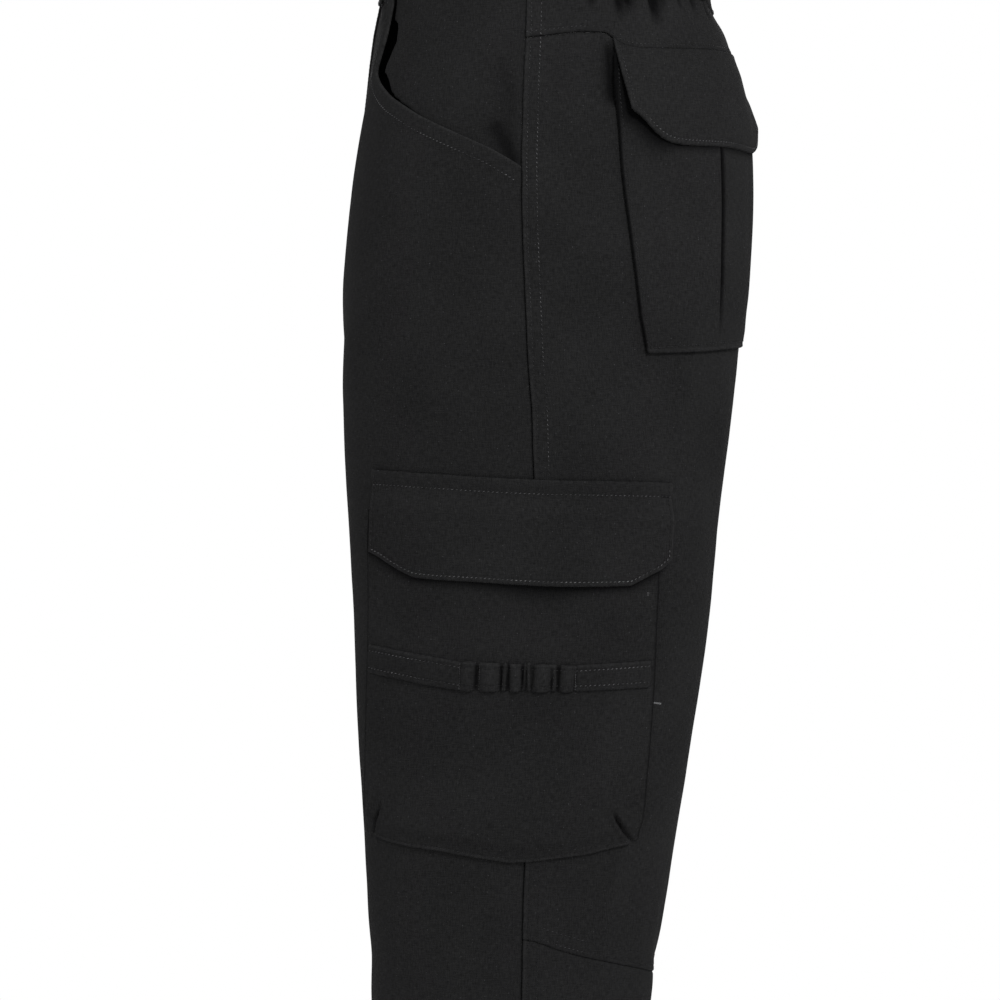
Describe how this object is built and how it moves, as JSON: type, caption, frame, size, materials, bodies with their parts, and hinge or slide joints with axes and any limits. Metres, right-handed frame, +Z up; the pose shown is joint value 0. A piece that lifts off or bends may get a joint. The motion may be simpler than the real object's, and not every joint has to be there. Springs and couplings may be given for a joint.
{
  "type": "cargo trousers",
  "caption": "Straight-leg cargo trousers in worn shape, hollow and open at waist and hems, with slanted front pockets, flap back pockets and strapped cargo pockets.",
  "frame": {"origin": "middle of the waist opening, half way up the waistband", "axes": "+Z up along the wearer, -Y to the wearer's front, +X to the wearer's left"},
  "size_m": [0.3812, 0.2728, 1.0803],
  "materials": {
    "cloth": "black cotton twill, matte",
    "strap": "black cotton strap, matte",
    "button": "black sewn button"
  },
  "bodies": {
    "root": {"front_left": "cloth", "front_right": "cloth", "pocket_facing_left": "cloth", "pocket_facing_right": "cloth", "back_left": "cloth", "back_right": "cloth", "back_lower_left": "cloth", "back_lower_right": "cloth", "back_yoke_left": "cloth", "back_yoke_right": "cloth", "waistband_front_left": "cloth", "waistband_front_right": "cloth", "waistband_back": "cloth", "fly_lap": "cloth", "belt_loop_front_left": "cloth", "belt_loop_front_right": "cloth", "belt_loop_rear_left": "cloth", "belt_loop_rear_right": "cloth", "belt_loop_centre": "cloth", "waist_button": "button", "back_pocket_left": "cloth", "back_pocket_right": "cloth", "back_flap_left": "cloth", "back_flap_right": "cloth", "cargo_pocket_left": "cloth", "cargo_pocket_right": "cloth", "cargo_flap_left": "cloth", "cargo_flap_right": "cloth", "cargo_strap_left": "strap", "cargo_strap_right": "strap"}
  },
  "joints": []
}
